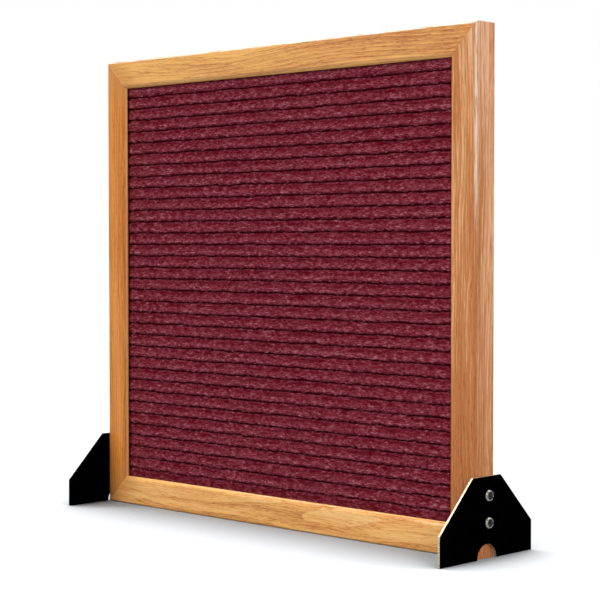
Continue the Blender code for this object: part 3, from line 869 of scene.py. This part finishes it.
def make_felt(felt_material):
    """One sheet of felt, tucked into every groove of the board behind it."""
    low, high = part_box("felt_cover")
    front = low.y - FELT_PROUD
    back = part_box("groove_board")[0].y - GLUE_GAP
    face, rear = felt_outline(low.z, high.z, front, back)
    shape = bmesh.new()
    # The first attribute holds painted light and shade for the felt's colours, the second how far the tufts
    # reach
    painted_nap_shade = shape.verts.layers.float.new("painted_nap_shade")
    nap_reach = shape.verts.layers.float.new("nap_reach")
    face_points = [shape.verts.new((low.x, y, z)) for y, z, _, _ in face]
    for point, (_, _, reach, tone) in zip(face_points, face):
        point[painted_nap_shade] = tone
        point[nap_reach] = reach
    rear_points = [shape.verts.new((low.x, y, z)) for y, z in rear]
    end = shape.faces.new(face_points + rear_points)
    drawn = bmesh.ops.extrude_face_region(shape, geom=[end])
    moved = [item for item in drawn["geom"] if isinstance(item, bmesh.types.BMVert)]
    bmesh.ops.translate(shape, verts=moved, vec=(high.x - low.x, 0, 0))
    on_face = set(face_points)
    long_edges = [e for v in face_points for e in v.link_edges if e.other_vert(v) not in on_face]
    long_edges = [e for e in long_edges if abs(e.verts[0].co.x - e.verts[1].co.x) > FACE_WIDTH]
    bmesh.ops.subdivide_edges(shape, edges=long_edges, cuts=FELT_COLUMNS)
    bottom, top = low.z + FELT_HIDDEN_EDGE, high.z - FELT_HIDDEN_EDGE
    for vertex in shape.verts:
        if low.x < vertex.co.x < high.x and bottom < vertex.co.z < top:
            vertex.co = matted(vertex.co, vertex[nap_reach])
    bmesh.ops.recalc_face_normals(shape, faces=shape.faces)
    mesh = finished_mesh("felt", shape)
    # Felt has no sharp arris anywhere, and shading it smooth again clears the ones just set
    mesh.shade_smooth()
    felt = add_piece("felt_sheet", mesh, Matrix.Identity(4), "board", [felt_material], ["felt_cover"])


# Feet and screws


def foot_mesh(length, height, thickness):
    """A foot in the plane X = 0: sloping shoulders, and an arch cut into its lower edge."""
    half, half_top = length / 2, FOOT_TOP_LENGTH / 2
    outline = [(half, 0), (half, FOOT_SIDE_HEIGHT), (half_top, height), (-half_top, height)]
    outline += [(-half, FOOT_SIDE_HEIGHT), (-half, 0)]
    outline += arc((0, 0), (ARCH_RADIUS, ARCH_RADIUS), 180, 0, ARCH_STEPS)
    shape = slab(outline, thickness)
    ease_edges(shape, FOOT_EDGE_EASE, 2)
    holes = [middle("right_foot_" + level + "_screw")[2] for level in FOOT_SCREW_TURNS]
    shape = carved(shape, [rod(FOOT_HOLE_RADIUS, 3 * thickness, (0, z, 0)) for z in holes])
    bmesh.ops.transform(shape, matrix=TURNED_TO_SIDE, verts=shape.verts)
    shape.normal_update()
    for face in shape.faces:
        face.material_index = 0 if abs(face.normal.x) > SHEET_FACING else 1
    return finished_mesh("foot", shape)


def screw_mesh(name, head_radius, head_height, shank_radius, length):
    """A pan-head screw with a cross recess, head up, the underside of its head at the origin."""
    rim = head_height * HEAD_RIM
    dome = arc((0, rim), (head_radius, head_height - rim), DOME_FLAT, 0, DOME_STEPS)
    cone = length * SHANK_TIP - length
    profile = dome + [(head_radius * HEAD_UNDERSIDE, 0)]
    profile += [(shank_radius, 0), (shank_radius, cone), (0, -length)]
    shape = bmesh.new()
    points = [shape.verts.new((x, 0, z)) for x, z in profile]
    for first, second in zip(points, points[1:]):
        shape.edges.new((first, second))
    bmesh.ops.spin(
        shape,
        geom=shape.verts[:] + shape.edges[:],
        axis=(0, 0, 1),
        cent=(0, 0, 0),
        angle=math.radians(360),
        steps=SCREW_STEPS,
        use_merge=True,
    )
    bmesh.ops.remove_doubles(shape, verts=shape.verts, dist=TOUCHING)

    # The cross is open to the top of the dome, and its walls draw in towards a small floor
    top = dome[0][1]
    ring = [e for e in shape.edges if e.is_boundary and min(v.co.z for v in e.verts) > top - LEVEL_WITH]
    blade = head_radius * RECESS_BLADE
    span = head_radius * RECESS_REACH
    throat = blade * RECESS_THROAT
    cross = []
    for quarter in range(4):
        spun = Matrix.Rotation(math.radians(90 * quarter), 2)
        cross += [spun @ Vector(corner) for corner in ((span, -blade), (span, blade), (throat, throat))]
    corners = [shape.verts.new((x, y, top)) for x, y in cross]
    mouth = [shape.edges.new((a, b)) for a, b in zip(corners, corners[1:] + corners[:1])]
    bmesh.ops.triangle_fill(shape, edges=ring + mouth, use_beauty=True, normal=(0, 0, 1))
    sunk = bmesh.ops.extrude_edge_only(shape, edges=mouth)["geom"]
    floor = [item for item in sunk if isinstance(item, bmesh.types.BMVert)]
    bmesh.ops.scale(shape, verts=floor, vec=(RECESS_FLOOR, RECESS_FLOOR, 1.0))
    bmesh.ops.translate(shape, verts=floor, vec=(0, 0, -head_height * RECESS_DEPTH))
    floor_edges = [item for item in sunk if isinstance(item, bmesh.types.BMEdge)]
    bottom = bmesh.ops.contextual_create(shape, geom=floor_edges)
    for face in [item for item in sunk if isinstance(item, bmesh.types.BMFace)] + bottom["faces"]:
        face.material_index = 1
    bmesh.ops.recalc_face_normals(shape, faces=shape.faces)
    return finished_mesh(name, shape)


def make_feet(coat, cut_edge, nickel, recess):
    """A foot on each side of the frame, held by two screws on its centre line.

    In the photo the right foot's cut edges look pale and the left foot's look dark, so the left foot's edges
    take the black coat.
    """
    low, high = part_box("right_foot")
    foot = foot_mesh(high.y - low.y, high.z - low.z, high.x - low.x)
    screw = screw_mesh("foot_screw", *FOOT_SCREW)
    for side, way, edge in (("left", -1, coat), ("right", 1, cut_edge)):
        foot_node = side + "_foot"
        low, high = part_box(foot_node)
        place = Matrix.Translation((middle(foot_node)[0], 0, low.z))
        add_piece(side + "_plate_foot", foot, place, "board", [coat, edge], [foot_node])
        seat = (high.x if way > 0 else low.x) + way * HEAD_GAP
        for level, turn in FOOT_SCREW_TURNS.items():
            screw_node = side + "_foot_" + level + "_screw"
            name = side + "_" + level + "_nickel_screw"
            lie = Matrix.Translation((seat, 0, middle(screw_node)[2]))
            lie = lie @ Matrix.Rotation(math.radians(90 * way), 4, "Y")
            lie = lie @ Matrix.Rotation(math.radians(turn), 4, "Z")
            add_piece(name, screw, lie, "board", [nickel, recess], [screw_node])


# Turn buttons


def button_mesh():
    """A tapered finger with round ends in X and Z, its pivot at the origin and its tip up."""
    spread = math.degrees(math.acos((BUTTON_PIVOT_RADIUS - BUTTON_TIP_RADIUS) / BUTTON_REACH))
    tip = (BUTTON_TIP_RADIUS, BUTTON_TIP_RADIUS)
    pivot = (BUTTON_PIVOT_RADIUS, BUTTON_PIVOT_RADIUS)
    outline = arc((0, BUTTON_REACH), tip, 90 - spread, 90 + spread, BUTTON_TIP_STEPS)
    outline += arc((0, 0), pivot, 90 + spread, 450 - spread, BUTTON_PIVOT_STEPS)
    shape = slab(outline, BUTTON_THICKNESS)
    ease_edges(shape, BUTTON_EDGE_EASE, 3)
    shape = carved(shape, [rod(BUTTON_HOLE_RADIUS, 3 * BUTTON_THICKNESS, (0, 0, 0))])
    bmesh.ops.transform(shape, matrix=Matrix.Rotation(math.radians(90), 4, "X"), verts=shape.verts)
    return finished_mesh("turn_button", shape)


def make_turn_buttons(zinc, recess):
    """Turn buttons round the back, each on its own screw."""
    button = button_mesh()
    screw = screw_mesh("button_screw", *BUTTON_SCREW)
    for number, (spot, degrees) in enumerate(BUTTON_TURNS.items()):
        screw_node = "turn_button_screw_" + spot
        button_node = "turn_button_" + spot
        x, _, z = middle(screw_node)
        place = Matrix.Translation((x, middle(button_node)[1], z))
        place = place @ Matrix.Rotation(math.radians(degrees), 4, "Y")
        add_piece("zinc_button_" + spot, button, place, "button_" + spot, [zinc], [button_node])
        lie = Matrix.Translation((x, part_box(button_node)[1].y + HEAD_GAP, z))
        lie = lie @ Matrix.Rotation(math.radians(-90), 4, "X")
        lie = lie @ Matrix.Rotation(math.radians(BUTTON_SCREW_STEP * number), 4, "Z")
        add_piece("zinc_screw_" + spot, screw, lie, "board", [zinc, recess], [screw_node])


def dress_plain_parts(materials):
    """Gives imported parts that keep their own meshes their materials."""
    for node, material in materials.items():
        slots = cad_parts[node].data.materials
        slots.clear()
        slots.append(material)


# Stage, light and camera


def seen_directly(tree):
    """One for a ray that shows the surroundings: to the camera, in a reflection or through glass."""
    rays = add_node(tree, "ShaderNodeLightPath", {}).outputs
    straight = add_node(
        tree, "ShaderNodeMath", {0: rays["Is Camera Ray"], 1: rays["Is Glossy Ray"]}, operation="MAXIMUM"
    )
    return add_node(
        tree, "ShaderNodeMath", {0: straight, 1: rays["Is Transmission Ray"]}, operation="MAXIMUM"
    )


def make_stage():
    """A plain white floor that keeps the object's shadow.

    Seen directly it is lifted to full white where nothing shades it.
    """
    bpy.ops.mesh.primitive_plane_add(size=FLOOR_SIZE)
    floor = bpy.context.active_object
    floor.name = "floor"
    material = bpy.data.materials.new("white_floor")
    material.use_nodes = True
    tree = material.node_tree
    tree.nodes.clear()
    matt = add_node(tree, "ShaderNodeBsdfDiffuse", {"Color": linear(FLOOR_COLOUR)})
    open_share = add_node(
        tree, "ShaderNodeAmbientOcclusion", {"Distance": CONTACT_SHADE_REACH}, samples=16
    ).outputs["AO"]
    lit = add_node(
        tree,
        "ShaderNodeMapRange",
        {"Value": open_share, "From Min": FULL_SHADE, "From Max": NO_SHADE, "To Max": FLOOR_LIFT},
    )
    lift = add_node(tree, "ShaderNodeMath", {0: seen_directly(tree), 1: lit}, operation="MULTIPLY")
    glow = add_node(tree, "ShaderNodeEmission", {"Color": (1, 1, 1, 1), "Strength": lift})
    both = add_node(tree, "ShaderNodeAddShader", {0: matt, 1: glow})
    add_node(tree, "ShaderNodeOutputMaterial", {"Surface": both})
    floor.data.materials.append(material)


def make_world():
    """Even surroundings: full white where they are seen directly, a soft grey as light."""
    world = bpy.data.worlds.new("studio")
    bpy.context.scene.world = world
    world.use_nodes = True
    tree = world.node_tree
    tree.nodes.clear()
    level = add_node(
        tree, "ShaderNodeMapRange", {"Value": seen_directly(tree), "To Min": AMBIENT, "To Max": 1.0}
    )
    background = add_node(tree, "ShaderNodeBackground", {"Color": (1, 1, 1, 1), "Strength": level})
    add_node(tree, "ShaderNodeOutputWorld", {"Surface": background})


def add_sun(name, azimuth, height, strength, width):
    """A broad soft light from far away: angles in degrees, azimuth from the board's front to its right."""
    lamp = bpy.data.lights.new(name, "SUN")
    lamp.energy = strength
    lamp.angle = math.radians(width)
    sun = bpy.data.objects.new(name, lamp)
    bpy.context.scene.collection.objects.link(sun)
    turn, rise = math.radians(azimuth), math.radians(height)
    towards = Vector((math.sin(turn) * math.cos(rise), -math.cos(turn) * math.cos(rise), math.sin(rise)))
    sun.rotation_euler = (-towards).to_track_quat("-Z", "Y").to_euler()


def add_soft_box(name, place, target, width, height, watts, colour):
    """A soft box at a place, facing a target. The camera doesn't see it."""
    lamp = bpy.data.lights.new(name, "AREA")
    lamp.shape = "RECTANGLE"
    lamp.size, lamp.size_y = width, height
    lamp.energy = watts
    lamp.color = linear(colour)[:3]
    box = bpy.data.objects.new(name, lamp)
    box.visible_camera = False
    bpy.context.scene.collection.objects.link(box)
    box.location = place
    box.rotation_euler = (Vector(target) - Vector(place)).to_track_quat("-Z", "Y").to_euler()


def make_camera():
    """The camera stands to the right of the board's front, a little above its middle."""
    camera = bpy.data.cameras.new("camera")
    camera.lens = CAMERA_LENS_MM
    camera.sensor_width = CAMERA_SENSOR_MM
    camera.clip_start, camera.clip_end = CAMERA_CLIP
    eye = bpy.data.objects.new("camera", camera)
    bpy.context.scene.collection.objects.link(eye)
    tilt = math.radians(90) - CAMERA_ELEVATION
    turn = Matrix.Rotation(CAMERA_AZIMUTH, 4, "Z") @ Matrix.Rotation(tilt, 4, "X")
    aim = Vector((math.cos(CAMERA_AZIMUTH), math.sin(CAMERA_AZIMUTH), 0)) * CAMERA_AIM_SIDE
    aim.z = CAMERA_AIM_HEIGHT
    away = turn.to_3x3() @ Vector((0, 0, CAMERA_DISTANCE))
    eye.matrix_world = Matrix.Translation(aim + away) @ turn @ Matrix.Rotation(CAMERA_ROLL, 4, "Z")
    bpy.context.scene.camera = eye


# The board

make_frame()
make_felt(burgundy_felt())
screw_recess = dull_recess()
make_feet(black_baked_coat(), bare_cut_edge(), bright_nickel(), screw_recess)
make_turn_buttons(zinc_plate(), screw_recess)
nail_steel = blued_spring_steel()
dress_plain_parts(
    {
        "corner_nail_top_left": nail_steel,
        "corner_nail_top_right": nail_steel,
        "corner_nail_bottom_left": nail_steel,
        "corner_nail_bottom_right": nail_steel,
        "backing_board": tempered_hardboard(),
        "groove_board": raw_fibreboard(),
    }
)

# Its surroundings

make_stage()
make_world()
add_sun("front_light", azimuth=-20, height=48, strength=1.8, width=30)
add_sun("left_light", azimuth=-80, height=48, strength=1.2, width=14)
add_sun("back_light", azimuth=190, height=66, strength=1.2, width=50)
add_sun("side_light", azimuth=135, height=28, strength=1.1, width=50)
add_soft_box(
    "arris_light",
    place=(0.88, -0.50, 0.36),
    target=(0.13, 0, 0.22),
    width=0.10,
    height=0.24,
    watts=1.6,
    colour=ARRIS_LIGHT_COLOUR,
)
make_camera()
bpy.context.scene.view_settings.view_transform = "Standard"
